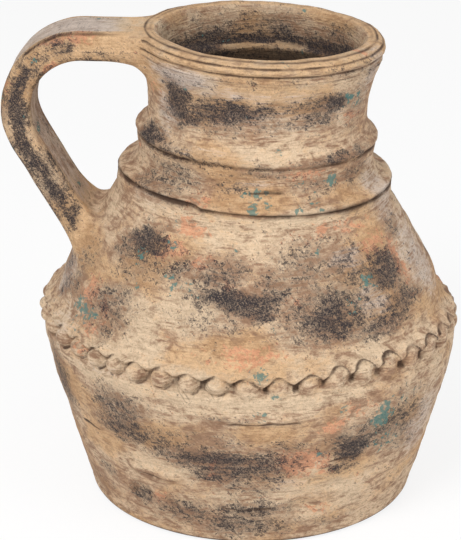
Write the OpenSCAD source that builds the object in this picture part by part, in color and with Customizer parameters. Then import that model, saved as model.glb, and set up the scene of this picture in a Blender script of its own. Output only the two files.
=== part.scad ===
/* [Lower body] */
// Radius of the wall just above the rounded edge of the foot
foot_r = 96; // [88:0.5:104]
// Radius of the rounded edge round the foot
foot_round = 4.5; // [3:0.5:8]
// Height of the seam where the shoulder sits on the lower body
seam_h = 110; // [90:0.5:130]
// Radius of the lower body at its widest
belly_r = 120.5; // [114:0.5:128]
// Radius of the wall where it begins to turn upright
hip_r = 112; // [106:0.5:116]
// Height of that place
hip_h = 60; // [40:1:75]
// How far the wall bulges past a straight line above it
belly_bow = 1; // [0.5:0.1:3]
// Thickness of the floor
floor_t = 11; // [7:0.5:16]
// Thickness of the wall
wall = 8; // [6:0.25:9]

/* [Beaded seam] */
// Number of finger-pressed beads round the seam
bead_count = 44; // [30:1:50]
// Radius of one bead
bead_r = 6; // [5:0.25:7]
// How far a bead stands out past the wall
bead_proud = 3.5; // [1.5:0.25:4.5]
// Height of the recess that the beads sit in
recess_h = 8; // [6:0.5:10]
// Depth of that recess
recess_d = 2.5; // [1:0.25:4]
// Height of the raised band below the beads
band_h = 9; // [6:0.5:12]
// How far that band stands out past the wall
band_proud = 0.8; // [0.4:0.1:2]
// How far the lip over the beads stands out past the wall
flange_proud = 2.5; // [0.5:0.25:3.5]
// Size of the rounded edge of that lip
flange_round = 2; // [1:0.25:3]
// Height of the faired slope above that lip
flange_h = 15; // [10:0.5:18]
// How far the faired slope sags inwards
fair_sag = 1.6; // [0.5:0.1:3]

/* [Shoulder] */
// How far the shoulder stands in from the widest part, where the faired slope meets it
shoulder_in = 10; // [6:0.5:14]
// How much further in the shoulder turns into its long slope
slope_in = 6; // [3:0.5:9]
// Height of that turn above the faired slope
turn_h = 16; // [12:0.5:24]
// How far the shoulder bulges below the turn
turn_bow = 0.8; // [0.4:0.1:2]
// Height of the long slope, up to the collar
slope_h = 41; // [30:0.5:50]
// How far the shoulder sits off the axis of the lower body, towards the handle
shoulder_offset = 1; // [0:0.25:2]
// Lean of the shoulder away from the handle, in degrees
shoulder_lean = 1.6; // [0:0.1:2.2]
// Lean of the neck away from the handle, in degrees
neck_lean = 2.4; // [0:0.1:4]

/* [Neck] */
// Radius of the collar at the foot of the neck
collar_r = 79.5; // [76:0.5:84]
// Height of the upright band below the collar groove
collar_band_h = 10; // [6:0.5:16]
// Height from the collar groove to the hollow above it
collar_cap_h = 13.5; // [10:0.5:22]
// Size of the rounded edge above the collar groove
collar_round = 3; // [2:0.25:5]
// How far the wall sags between that edge and the hollow
cap_sag = 2.6; // [1:0.1:4]
// Radius of the hollow between the collar and the ridge
hollow_r = 67.5; // [65:0.5:71]
// Height from the hollow to the groove under the ridge
ridge_foot_h = 9.5; // [5:0.5:12]
// Radius of the ridge round the neck
ridge_r = 69.6; // [68:0.2:74]
// Height of the ridge
ridge_h = 4.5; // [3:0.5:8]
// Radius of the waist of the neck
waist_r = 62.8; // [60:0.2:65]
// Height from the ridge to the waist
waist_drop_h = 8.5; // [6:0.5:14]
// Height from the waist to the widest line of the lip
neck_h = 41; // [30:0.5:60]
// How far the wall sags between the ridge and the waist
waist_sag = 1; // [0.5:0.1:2]
// How far the wall sags between the waist and the lip
neck_sag = 1.8; // [0.8:0.1:3]
// Radius of the lip at its widest line
lip_r = 71; // [69:0.5:76]
// Height of the rim above the widest line of the lip
lip_h = 6; // [4:0.5:9]
// Height of the turned step under the lip
lip_step = 3; // [2:0.25:4]
// How far the lip bulges up to the rim
lip_bow = 1.6; // [0.8:0.1:2.4]
// Radius of the crest of the rim
crest_r = 65.5; // [64:0.5:68]
// Radius of the opening just below the rim
mouth_r = 61; // [57:0.5:63]
// Depth of the turned grooves
groove_d = 1; // [0.5:0.1:1.6]

/* [Handle] */
// Width of the strap
strap_w = 40; // [26:0.5:44]
// Thickness of the strap
strap_t = 17; // [12:0.5:20]
// Distance from the axis to the outermost face of the strap
handle_reach = 143; // [136:0.5:160]
// Radius of the bend along the middle of the strap
bend_r = 38; // [28:0.5:42]
// Height up the long slope of the shoulder at which the strap lands
landing_h = 12.3; // [8:0.1:18]
// Length over which the strap spreads towards its landing
landing_l = 30; // [16:1:45]
// How much wider the strap gets there
landing_spread = 24; // [8:1:36]
// How much thicker the strap gets there, on its inner side
landing_swell = 4; // [0:0.5:10]
// Length over which the strap spreads towards the rim
saddle_l = 24; // [10:1:30]
// How much wider the strap gets there
saddle_spread = 6; // [0:1:16]
// How much thicker the strap gets there, on its underside
saddle_swell = 5; // [0:0.5:10]

/* [Hidden] */
$fn = 96;
CLAY = "tan";

// Straight pieces in one short rounded stretch of an outline
STEPS = 6;
// Depth to which one stretch of clay reaches into the next
BITE = 9;
// Half the height of a turned groove
GROOVE_HALF = 0.9;
// Share of the beads' recess that lies below the seam
RECESS_BELOW = 0.8;
// Points round the strap's section, and the power that squares it
STRAP_SIDES = 24;
STRAP_SQUARENESS = 0.38;

// Heights above the seam, stacked from the beads up to the rim
recess_z = -recess_h * RECESS_BELOW;
flange_z = recess_z + recess_h;
fair_z = flange_z + flange_h;
turn_z = fair_z + turn_h;
collar_z = turn_z + slope_h;
groove_z = collar_z + collar_band_h;
hollow_z = groove_z + collar_cap_h;
ridge_z = hollow_z + ridge_foot_h;
ridge_top_z = ridge_z + ridge_h;
waist_z = ridge_top_z + waist_drop_h;
lip_z = waist_z + neck_h;
rim_z = lip_z + lip_h;

// Points of an arc from p up to q, without q, that bows by rise to the right of the way
function bow(p, q, rise, n = STEPS) =
    let (
        way = q - p,
        side = [way[1], -way[0]] / norm(way) * sign(rise),
        r = (way * way / 4 + rise * rise) / (2 * abs(rise)),
        centre = (p + q) / 2 - side * (r - abs(rise)),
        half = asin(norm(way) / (2 * r)),
        middle = atan2(side[1], side[0])
    )
    [for (i = [0 : n - 1])
        let (a = middle + sign(rise) * half * (2 * i / n - 1))
        centre + r * [cos(a), sin(a)]];

// Points of a turned groove round a wall of radius r at height z
function groove(r, z) = [[r, z - GROOVE_HALF], [r - groove_d, z], [r, z + GROOVE_HALF]];

// A place on the shoulder or the neck, given upright as [x, z] above the seam, where it leans
function turned(p, a) = [p[0] * cos(a) + p[1] * sin(a), p[1] * cos(a) - p[0] * sin(a)];
function on_shoulder(p) = turned(p, shoulder_lean) + [-shoulder_offset, seam_h];
function on_neck(p) =
    on_shoulder(turned(p - [0, collar_z], neck_lean - shoulder_lean) + [0, collar_z]);

// The long slope of the shoulder is straight: its height above the seam at a radius
shoulder_r = belly_r - shoulder_in;
slope_r = shoulder_r - slope_in;
slope_run = slope_r - collar_r;
function slope_height(r) = turn_z + slope_h * (slope_r - r) / slope_run;

foot_bow = foot_round * (1 - cos(45));
band_z = recess_z - band_h;
body_top = seam_h + recess_z - band_h / 2;
lower_outline = concat(
    [[0, 0]],
    bow([foot_r - foot_round, 0], [foot_r, foot_round], foot_bow),
    bow([foot_r, foot_round], [hip_r, hip_h], belly_bow / 2),
    bow([hip_r, hip_h], [belly_r, body_top], belly_bow),
    [[belly_r, body_top], [0, body_top]]
);

band_r = belly_r + band_proud;
recess_r = belly_r - recess_d;
flange_r = belly_r + flange_proud;
flange_top = flange_z + flange_round;
collar_foot_z = slope_height(collar_r - BITE / 4);
shoulder_outline = concat(
    [[0, band_z - BITE], [band_r - BITE, band_z - BITE], [band_r, band_z]],
    [[band_r, recess_z], [recess_r, recess_z + recess_d / 2], [recess_r, flange_z]],
    bow([flange_r - flange_round / 2, flange_z], [flange_r, flange_top], flange_round / 5, 3),
    bow([flange_r, flange_top], [shoulder_r, fair_z], -fair_sag),
    bow([shoulder_r, fair_z], [slope_r, turn_z], turn_bow),
    [[slope_r, turn_z], [collar_r - BITE / 4, collar_foot_z], [0, collar_foot_z]]
);

collar_edge = [collar_r - collar_round, groove_z + collar_round];
ridge_foot_r = ridge_r - groove_d;
neck_outline = concat(
    [[0, collar_z - BITE], [collar_r, collar_z - BITE]],
    groove(collar_r, groove_z),
    bow([collar_r, groove_z + GROOVE_HALF], collar_edge, collar_round / 5, 3),
    bow(collar_edge, [hollow_r, hollow_z], -cap_sag),
    [[hollow_r, hollow_z]],
    groove(ridge_foot_r, ridge_z),
    bow([ridge_foot_r, ridge_z + GROOVE_HALF], [ridge_foot_r, ridge_top_z], groove_d),
    bow([ridge_foot_r, ridge_top_z], [waist_r, waist_z], -waist_sag),
    bow([waist_r, waist_z], [lip_r - groove_d, lip_z - lip_step], -neck_sag, 2 * STEPS),
    [[lip_r - groove_d, lip_z - lip_step], [lip_r - 2 * groove_d, lip_z - lip_step * 2 / 3]],
    bow([lip_r - groove_d / 2, lip_z - lip_step / 3], [crest_r, rim_z], lip_bow, 2 * STEPS),
    [[crest_r, rim_z], [0, rim_z]]
);

// The hollow inside, one wall in from the same places
inner_belly_r = belly_r - wall;
lower_hollow = concat(
    [[0, floor_t]],
    bow([foot_r - wall - foot_round, floor_t], [foot_r - wall, floor_t + foot_round], foot_bow),
    bow([foot_r - wall, floor_t + foot_round], [hip_r - wall, hip_h], belly_bow / 2),
    bow([hip_r - wall, hip_h], [inner_belly_r, seam_h + band_z], belly_bow),
    [[inner_belly_r, seam_h + band_z], [inner_belly_r - BITE, seam_h], [0, seam_h]]
);

// The wall of the long slope, measured along the radius
slope_wall = wall * norm([slope_run, slope_h]) / slope_h;
throat_r = waist_r - wall;
shoulder_hollow = concat(
    [[0, band_z - BITE], [inner_belly_r - BITE, band_z - BITE], [inner_belly_r, band_z + BITE / 2]],
    bow([inner_belly_r, flange_z], [slope_r - slope_wall, turn_z], slope_in / 2),
    [[slope_r - slope_wall, turn_z], [collar_r - slope_wall, collar_z]],
    [[throat_r, hollow_z], [0, hollow_z]]
);

inner_hollow_r = hollow_r - wall;
crest_in_r = crest_r - groove_d;
neck_hollow = concat(
    [[0, collar_z - BITE], [inner_hollow_r + BITE / 2, collar_z - BITE]],
    bow([inner_hollow_r + BITE / 2, collar_z], [inner_hollow_r, hollow_z], -waist_sag / 2),
    bow([inner_hollow_r, hollow_z], [throat_r, waist_z], -waist_sag),
    bow([throat_r, waist_z], [mouth_r, lip_z], -neck_sag),
    bow([mouth_r, lip_z], [crest_in_r, rim_z], -waist_sag),
    [[crest_in_r, rim_z], [crest_in_r, rim_z + BITE], [0, rim_z + BITE]]
);

// The strap's middle line, as [distance from the axis, height]: a level run out from the rim,
// a bend, and a straight fall that touches the bend and ends on the shoulder
run_z = on_neck([-crest_r, rim_z])[1] - strap_t / 2;
bend_u = handle_reach - strap_t / 2 - bend_r;
bend_at = [bend_u, run_z - bend_r];
start_u = mouth_r - BITE;
landing_r = slope_r - slope_run * landing_h / slope_h;
landing_at = let (p = on_shoulder([-landing_r, turn_z + landing_h])) [-p[0], p[1]];
to_landing = landing_at - bend_at;
bend_end = atan2(to_landing[1], to_landing[0]) + acos(bend_r / norm(to_landing));
fall_from = bend_at + bend_r * [cos(bend_end), sin(bend_end)];
fall_dir = [sin(bend_end), -cos(bend_end)];
fall_l = norm(landing_at - fall_from);

RUN_STEPS = 8;
BEND_STEPS = 18;
FALL_STEPS = 14;
// Each station of the strap is [distance from the axis, height, heading]
strap_stations = concat(
    [for (i = [0 : RUN_STEPS - 1]) [start_u + (bend_u - start_u) * i / RUN_STEPS, run_z, 0]],
    [for (i = [0 : BEND_STEPS - 1])
        let (a = 90 + (bend_end - 90) * i / BEND_STEPS)
        [bend_at[0] + bend_r * cos(a), bend_at[1] + bend_r * sin(a), a - 90]],
    [for (i = [0 : FALL_STEPS])
        let (p = fall_from + fall_dir * fall_l * sin(90 * i / FALL_STEPS))
        [p[0], p[1], bend_end - 90]],
    [[landing_at[0] + fall_dir[0] * BITE, landing_at[1] + fall_dir[1] * BITE, bend_end - 90]]
);

// A fillet's rise from 0 to 1, slow at first and steepest at its end
function fillet(x) = let (t = min(1, max(0, x))) 1 - sqrt(1 - t * t);

// How much of its spread a station has at the landing, and at the rim
function at_landing(s) = fillet(1 - fall_dir * (landing_at - [s[0], s[1]]) / landing_l);
function at_rim(s) = s[2] < 0 ? 0 : fillet(1 - (s[0] - lip_r) / saddle_l);

function round_power(x) = sign(x) * pow(abs(x), STRAP_SQUARENESS);

// The points round the strap at one station, on the side of the axis away from the lean.
// Near the landing its edges reach further down, to follow the round of the shoulder.
function strap_ring(s) =
    let (
        w = strap_w + landing_spread * at_landing(s) + saddle_spread * at_rim(s),
        swell = landing_swell * at_landing(s) + saddle_swell * at_rim(s)
    )
    [for (k = [0 : STRAP_SIDES - 1])
        let (
            a = 360 * k / STRAP_SIDES,
            side = w / 2 * round_power(cos(a)),
            off = (a < 180 ? strap_t / 2 : strap_t / 2 + swell) * round_power(sin(a)),
            wrap = at_landing(s) * (landing_r - sqrt(landing_r * landing_r - side * side)),
            u = s[0] - off * sin(s[2]) + wrap * fall_dir[0],
            z = s[1] + off * cos(s[2]) + wrap * fall_dir[1]
        )
        [-u, side, z]];

module strap() {
    rings = len(strap_stations);
    polyhedron(
        points = [for (s = strap_stations) each strap_ring(s)],
        faces = concat(
            [[for (k = [STRAP_SIDES - 1 : -1 : 0]) k]],
            [for (i = [0 : rings - 2], k = [0 : STRAP_SIDES - 1])
                let (here = i * STRAP_SIDES, next = (k + 1) % STRAP_SIDES)
                [here + k, here + next, here + STRAP_SIDES + next, here + STRAP_SIDES + k]],
            [[for (k = [0 : STRAP_SIDES - 1]) (rings - 1) * STRAP_SIDES + k]]
        )
    );
}

module turn(outline) {
    rotate_extrude() polygon(outline);
}

module lean_shoulder() {
    translate([-shoulder_offset, 0, seam_h]) rotate([0, shoulder_lean, 0]) children();
}

module lean_neck() {
    lean_shoulder()
        translate([0, 0, collar_z]) rotate([0, neck_lean - shoulder_lean, 0])
            translate([0, 0, -collar_z]) children();
}

module beads() {
    for (i = [0 : bead_count - 1])
        rotate([0, 0, 360 * i / bead_count])
            translate([belly_r + bead_proud - bead_r, 0, (recess_z + flange_z) / 2])
                sphere(bead_r, $fn = 24);
}

module vase_body() {
    color(CLAY) difference() {
        union() {
            turn(lower_outline);
            lean_shoulder() turn(shoulder_outline);
            lean_neck() turn(neck_outline);
            lean_shoulder() beads();
            strap();
        }
        turn(lower_hollow);
        lean_shoulder() turn(shoulder_hollow);
        lean_neck() turn(neck_hollow);
    }
}

vase_body();
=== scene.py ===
"""A hand-thrown clay vase with a beaded seam and a strap handle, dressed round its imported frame.

The wall is one section spun round the axis, leaned above the seam as the frame leans, and shaped
by hand over the seam's beads. The strap grows out of a hole cut under the rim and is welded
into a second one on the shoulder. The slip, soot and stains are painted as soft patches, and the
clay's nodes break them up.
"""

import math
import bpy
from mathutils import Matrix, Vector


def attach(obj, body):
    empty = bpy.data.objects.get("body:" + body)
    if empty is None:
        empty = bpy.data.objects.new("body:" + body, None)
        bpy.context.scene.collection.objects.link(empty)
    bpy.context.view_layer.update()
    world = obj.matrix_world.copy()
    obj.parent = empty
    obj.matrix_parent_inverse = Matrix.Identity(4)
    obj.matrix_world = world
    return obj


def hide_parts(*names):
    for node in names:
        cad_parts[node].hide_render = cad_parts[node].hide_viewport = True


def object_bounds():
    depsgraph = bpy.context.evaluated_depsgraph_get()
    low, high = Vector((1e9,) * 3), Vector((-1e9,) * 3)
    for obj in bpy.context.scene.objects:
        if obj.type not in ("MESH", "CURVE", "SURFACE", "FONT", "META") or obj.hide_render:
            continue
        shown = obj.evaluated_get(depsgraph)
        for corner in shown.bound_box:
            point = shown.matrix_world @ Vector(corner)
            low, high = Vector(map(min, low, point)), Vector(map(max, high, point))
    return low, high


bl_info = {
    "name": "Beaded clay vase",
    "version": (1, 0, 0),
    "blender": (4, 5, 0),
    "location": "View3D > Sidebar > Vase",
    "description": "Builds a hand-thrown clay vase with a beaded seam and a strap handle",
    "category": "Add Mesh",
}

import bmesh
import bpy
import numpy as np
from bpy.props import FloatProperty, FloatVectorProperty, IntProperty, PointerProperty
from mathutils import Euler, Vector, noise

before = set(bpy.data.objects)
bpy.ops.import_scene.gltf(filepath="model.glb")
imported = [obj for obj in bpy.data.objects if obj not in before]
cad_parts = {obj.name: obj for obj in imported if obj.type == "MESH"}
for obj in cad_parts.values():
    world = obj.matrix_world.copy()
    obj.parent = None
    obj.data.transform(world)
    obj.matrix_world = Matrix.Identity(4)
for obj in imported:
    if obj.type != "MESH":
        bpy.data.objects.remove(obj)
CAD_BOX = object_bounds()

MM = 0.001
# The vase stays under this height, a hair below the top of the frame's own
TOP = CAD_BOX[1][2] - 0.1 * MM


def length(name, millimetres, description):
    """A length that a user can change, written here in millimetres"""
    return FloatProperty(
        name=name,
        description=description,
        default=millimetres * MM,
        min=0.0,
        subtype="DISTANCE",
        unit="LENGTH",
        precision=4,
    )


def turn_by(name, degrees, description):
    """An angle that a user can change, written here in degrees"""
    return FloatProperty(
        name=name,
        description=description,
        default=math.radians(degrees),
        subtype="ANGLE",
        unit="ROTATION",
    )


def tint(name, red, green, blue, description):
    """A colour that a user can change, written as it looks, from 0 to 255"""

    def linear(value):
        share = value / 255
        return share / 12.92 if share < 0.04045 else ((share + 0.055) / 1.055) ** 2.4

    return FloatVectorProperty(
        name=name,
        description=description,
        default=(linear(red), linear(green), linear(blue), 1.0),
        size=4,
        min=0.0,
        max=1.0,
        subtype="COLOR",
    )


class VaseSizes(bpy.types.PropertyGroup):
    """Sizes of the thrown wall, the seam and the neck"""

    foot_r: length("Foot radius", 96, "Radius of the wall just above the foot's rounded edge")
    foot_round: length("Foot edge", 4.5, "Radius of the rounded edge round the foot")
    seam_h: length("Seam height", 110, "Height of the seam where the shoulder sits on the body")
    belly_r: length("Belly radius", 120.5, "Radius of the body at its widest")
    hip_r: length("Hip radius", 112, "Radius where the wall begins to turn upright")
    hip_h: length("Hip height", 60, "Height of that place")
    wall: length("Wall", 8, "Thickness of the wall")
    floor_t: length("Floor", 11, "Thickness of the floor")
    bead_proud: length("Bead stand-out", 3.3, "How far a bead stands out past the wall")
    recess_h: length("Recess height", 8, "Height of the recess that the beads sit in")
    recess_d: length("Recess depth", 2.5, "Depth of that recess")
    flange_proud: length("Lip over beads", 0.7, "How far the lip over the beads stands out")
    flange_h: length("Fairing height", 15, "Height of the faired slope above that lip")
    shoulder_in: length("Shoulder set-in", 10, "How far the shoulder stands in from the belly")
    slope_in: length("Turn set-in", 6, "How much further in the shoulder turns into its slope")
    turn_h: length("Turn height", 16, "Height of that turn above the faired slope")
    slope_h: length("Slope height", 41, "Height of the long slope up to the collar")
    collar_r: length("Collar radius", 79.5, "Radius of the collar at the foot of the neck")
    collar_band_h: length("Collar band", 10, "Height of the band below the collar groove")
    collar_cap_h: length("Collar cap", 13.5, "Height from the groove to the hollow above it")
    hollow_r: length("Hollow radius", 67.5, "Radius of the hollow between collar and ridge")
    ridge_foot_h: length("Ridge foot", 9.5, "Height from the hollow to the ridge")
    ridge_r: length("Ridge radius", 69.6, "Radius of the ridge round the neck")
    ridge_h: length("Ridge height", 4.5, "Height of the ridge")
    waist_r: length("Waist radius", 62.8, "Radius of the neck's waist")
    waist_drop_h: length("Waist drop", 8.5, "Height from the ridge to the waist")
    neck_h: length("Neck height", 41, "Height from the waist to the widest line of the lip")
    lip_r: length("Lip radius", 71, "Radius of the lip at its widest line")
    lip_h: length("Lip height", 6, "Height of the rim above that line")
    groove_d: length("Groove depth", 1, "Depth of the turned grooves")
    shoulder_offset: length("Shoulder offset", 1, "How far the shoulder sits towards the handle")
    shoulder_lean: turn_by("Shoulder lean", 1.6, "Lean of the shoulder away from the handle")
    neck_lean: turn_by("Neck lean", 2.4, "Lean of the neck away from the handle")
    columns: IntProperty(
        name="Columns",
        description="Faces round the wall",
        default=296,
        min=64,
        max=480,
    )


class StrapSizes(bpy.types.PropertyGroup):
    """Sizes of the strap handle"""

    width: length("Width", 40, "Width of the strap")
    thickness: length("Thickness", 17, "Thickness of the strap")
    edge_r: length("Edge", 4.2, "Radius of the strap's long edges")
    reach: length("Reach", 142.6, "Distance from the axis to the strap's outermost face")
    bend_r: length("Bend", 38, "Radius of the bend along the middle of the strap")
    landing_h: length("Landing", 12.3, "Height up the shoulder's slope where the strap lands")
    rim_flare: length("Flare at the rim", 20, "Length over which the strap spreads into the rim")
    root_flare: length("Flare at the root", 30, "Length over which it spreads into the shoulder")


class ClayColours(bpy.types.PropertyGroup):
    """Colours of the clay, its slip and its stains, and of the shade painted in its hollows and
    inside it
    """

    clay: tint("Bare clay", 171, 137, 111, "The fired clay where the slip is thin")
    slip: tint("Slip", 220, 195, 165, "The cream slip brushed over the clay")
    ochre: tint("Ochre", 207, 166, 121, "Yellow-brown wash")
    peach: tint("Peach", 216, 155, 120, "Pink-orange spots where the clay shows")
    wash: tint("Wash", 144, 116, 95, "Thin brown wash in the streaks")
    ash: tint("Ash", 116, 99, 88, "Grey-brown bloom round the charcoal")
    soot: tint("Soot", 46, 42, 46, "Charcoal from the smoke firing")
    chalk: tint("Chalk", 205, 191, 181, "Whitish bloom on the strap and the lip")
    teal: tint("Verdigris", 84, 128, 122, "Blue-green flecks")
    # Grime is also the colour of painted shade in the grooves, round the beads, under the ledges and
    # along the foot, and it colours the scratches and pits
    grime_and_shade: tint("Grime", 62, 42, 32, "Dark brown dirt in grooves and round the beads")
    inside: tint("Inside", 104, 78, 54, "The unslipped inner wall")
    # Painted shade: near black laid over the inner wall deep inside the pot and under the inner ledge
    inside_shade: tint("Pit", 30, 20, 14, "The dark of the pot's inside below the neck")


class StageSettings(bpy.types.PropertyGroup):
    """Camera, lamps and floor"""

    lens: FloatProperty(
        name="Lens", description="Focal length", default=158.5, subtype="DISTANCE_CAMERA"
    )
    pitch: turn_by("Pitch", 21.704, "How far the camera looks down")
    swing: turn_by("Swing", 3.35, "How far the camera is turned to its left")
    floor: tint("Floor", 252, 252, 252, "Colour of the floor")
    key_power: FloatProperty(
        name="Key lamp", description="Power of the large lamp", default=20.0, unit="POWER"
    )
    fill_power: FloatProperty(
        name="Fill lamp", description="Power of the lamp on the right", default=8.5, unit="POWER"
    )
    sky: FloatProperty(
        name="Sky", description="Strength of the even light from all round", default=0.53
    )


# Shapes


def smooth(low, high, value):
    """0 below low, 1 above high and a soft step between them"""
    t = np.clip((value - low) / (high - low), 0, 1)
    return t * t * (3 - 2 * t)


def window(low, high, soft, value):
    """1 between low and high, falling softly to 0 outside them"""
    return smooth(low - soft, low, value) * (1 - smooth(high, high + soft, value))


def arc(start, end, rise, count=8):
    """Points from start to end that bow by rise to the right of the way"""
    start, end = np.array(start), np.array(end)
    way = end - start
    side = np.array([way[1], -way[0]]) / np.linalg.norm(way)
    t = np.linspace(0, 1, count + 1)[:, None]
    return start + way * t + side * rise * 4 * t * (1 - t)


def spaced(points, step):
    """The same line with its points about step apart, both ends kept"""
    points = np.array(points)
    run = np.r_[0, np.cumsum(np.linalg.norm(np.diff(points, axis=0), axis=1))]
    at = np.linspace(0, run[-1], max(1, round(run[-1] / step)) + 1)
    return np.c_[np.interp(at, run, points[:, 0]), np.interp(at, run, points[:, 1])]


def bowed(start, end, bow, step, count=8):
    """A stretch of the section that bows outwards, with its rows a step apart, both in millimetres"""
    return spaced(arc(start, end, bow * MM, count), step * MM)


def cloud(points, size, seed=0.0):
    """Soft noise from -1 to 1 at each point, with lumps of about that size in metres"""
    scaled = (points / size + seed).tolist()
    return np.array([noise.noise(point) for point in scaled])


class Wall:
    """The wall's section, as rows from the middle of the foot up to the rim and down inside"""

    # Share of the beads' recess that lies below the seam
    recess_below = 0.8
    # Half the height of a turned groove
    groove_half = 0.9 * MM
    # Depth of the dish under the foot
    dish_d = 0.8 * MM
    # Height above the waist of the ledge inside the neck
    ledge_h = 22 * MM
    # How much thicker the wall is along the radius where it slopes
    slant = 1.17

    def __init__(self, size):
        self.size = size
        self.recess = size.seam_h - self.recess_below * size.recess_h
        self.flange = self.recess + size.recess_h
        self.fair = self.flange + size.flange_h
        self.turn = self.fair + size.turn_h
        self.collar = self.turn + size.slope_h
        self.groove = self.collar + size.collar_band_h
        self.hollow = self.groove + size.collar_cap_h
        self.ridge = self.hollow + size.ridge_foot_h
        self.ridge_top = self.ridge + size.ridge_h
        self.waist = self.ridge_top + size.waist_drop_h
        self.ledge = self.waist + self.ledge_h
        self.lip = self.waist + size.neck_h
        self.rim = self.lip + size.lip_h
        self.slope_r = size.belly_r - size.shoulder_in - size.slope_in
        self.recess_r = size.belly_r - size.recess_d
        underside, outer, inner = self.underside(), self.outer(), self.inner()
        rows = np.vstack([underside, outer, inner])
        self.r, self.z = rows[:, 0], rows[:, 1]
        self.first = len(underside)
        self.last = self.first + len(outer) - 1
        way = np.gradient(rows, axis=0)
        way /= np.maximum(np.linalg.norm(way, axis=1), 1e-9)[:, None]
        self.normal = np.c_[way[:, 1], -way[:, 0]]

    def underside(self):
        """From the middle of the foot to its rounded edge"""
        edge = self.size.foot_r - self.size.foot_round
        flat, brink = 0.35 * edge, 0.7 * edge
        return np.array([[0, self.dish_d], [flat, self.dish_d], [brink, 0.7 * MM], [0.93 * edge, 0]])

    def bead_seat(self):
        """The band under the beads, the recess they sit in, and the lip of the shoulder over them"""
        wall, gap = self.size.belly_r, self.recess_r
        lip = wall + self.size.flange_proud
        low, edge = self.size.seam_h - 14 * MM, self.flange + 0.3 * MM
        return [
            [wall, low],
            [wall + 0.7 * MM, low + 2 * MM],
            [wall + 0.7 * MM, self.recess - 1.6 * MM],
            [wall + 0.3 * MM, self.recess - 0.6 * MM],
            [wall - 1 * MM, self.recess + 0.4 * MM],
            [gap, self.recess + 1.6 * MM],
            [gap, edge - 1.4 * MM],
            [gap + 0.8 * MM, edge - 0.5 * MM],
            [lip - 1.2 * MM, edge],
            [lip - 0.3 * MM, edge + 0.7 * MM],
            [lip, edge + 2 * MM],
        ]

    def outer(self):
        """From the foot's rounded edge up the outside to the crest of the rim"""
        size, half = self.size, self.groove_half
        low = [size.foot_r - size.foot_round, 0]
        foot = [size.foot_r, size.foot_round]
        hip = [size.hip_r, size.hip_h]
        seat = self.bead_seat()
        fair = [size.belly_r - size.shoulder_in, self.fair]
        turn = [self.slope_r, self.turn]
        collar = [size.collar_r, self.collar]
        cap = [size.collar_r - 3 * MM, self.groove + 3 * MM]
        hollow = [size.hollow_r, self.hollow]
        stem = size.ridge_r - size.groove_d
        ridge_top = [stem, self.ridge_top]
        parts = [
            bowed(low, foot, 1.3, 1.6),
            bowed(foot, hip, 0.5, 1.45),
            bowed(hip, seat[0], 1.0, 1.45),
            spaced(seat, 0.95 * MM),
            bowed(seat[-1], fair, -1.6, 1.2),
            bowed(fair, turn, 0.8, 1.5),
            bowed(turn, collar, 0, 1.5),
            bowed(collar, [size.collar_r, self.groove - half], 0, 1.3),
            self.grooved(size.collar_r, self.groove, 1.3 * size.groove_d),
            bowed([size.collar_r, self.groove + half], cap, 0.6, 0.9),
            bowed(cap, hollow, -2.6, 1.4),
            bowed(hollow, [stem, self.ridge - half], 0, 1.4),
            self.grooved(stem, self.ridge, size.groove_d),
            bowed([stem, self.ridge + half], ridge_top, size.groove_d / MM, 0.9),
            bowed(ridge_top, [size.waist_r, self.waist], -1.0, 1.3),
            self.neck_and_lip(),
        ]
        return np.vstack([parts[0]] + [part[1:] for part in parts[1:]])

    def grooved(self, r, z, depth):
        """A turned groove"""
        half = self.groove_half
        shape = ((-half, 0), (-half / 2, 0.7), (0, 1), (half / 2, 0.7), (half, 0))
        return np.array([[r - share * depth, z + up] for up, share in shape])

    def neck_and_lip(self):
        """The neck above the waist, its turned lines, and the lip up to the crest"""
        size = self.size
        turned = (
            (-1.3, -5.2),
            (-1.0, -4.4),
            (-1.7, -3.6),
            (-1.5, -2.6),
            (-0.9, -1.3),
            (-1.5, -0.5),
            (-1.0, 0.2),
            (0.0, 0.9),
            (0.1, 1.9),
            (-0.2, 2.9),
            (-0.9, 3.7),
            (-1.6, 4.2),
            (-2.2, 5.1),
            (-3.4, 5.9),
            (-4.9, 6.4),
            (-6.6, 6.7),
        )
        lip = [[size.lip_r + out * MM, self.lip + up * MM] for out, up in turned]
        neck = bowed([size.waist_r, self.waist], lip[0], -1.8, 1.35, 16)
        return np.vstack([neck[:-1], lip])

    def inner(self):
        """From the crest of the rim down the inside to the middle of the floor"""
        size, ledge = self.size, self.ledge
        throat, belly = size.waist_r - size.wall, size.belly_r - size.wall
        hip, foot = size.hip_r - size.wall, size.foot_r - size.wall
        mouth = [size.lip_r - 13.4 * MM, self.lip - 1 * MM]
        turned = ((8.2, 0.6), (9.8, 0.1), (11.2, -0.8), (12.0, -2.0), (12.6, -3.4))
        near = [[size.lip_r - back * MM, self.rim + up * MM] for back, up in turned]
        down = bowed(mouth, [57.2 * MM, ledge + 1.4 * MM], 0.5, 3)
        neck = [
            [56.6 * MM, ledge + 0.8 * MM],
            [55.2 * MM, ledge + 0.3 * MM],
            [throat, ledge - 1.2 * MM],
            [throat, ledge - 2.4 * MM],
            [throat, ledge - 4 * MM],
            [throat, ledge - 7 * MM],
            [throat, self.waist + 10 * MM],
            [throat, self.waist],
            [throat + 2.6 * MM, self.ridge],
            [size.hollow_r - size.wall, self.hollow],
            [size.hollow_r - size.wall + 3 * MM, self.groove - 4 * MM],
            [size.collar_r - self.slant * size.wall, self.collar],
        ]
        shoulder = bowed(neck[-1], [self.slope_r - self.slant * size.wall, self.turn], 0, 10)
        body = [
            [belly - 5.8 * MM, self.fair],
            [belly - 0.8 * MM, self.flange],
            [belly, self.recess - 9 * MM],
            [0.5 * (belly + hip), 78 * MM],
            [hip, size.hip_h],
            [97 * MM, 38 * MM],
            [foot, size.floor_t + size.foot_round],
            [foot - 1.3 * MM, size.floor_t + 1.3 * MM],
        ]
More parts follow.
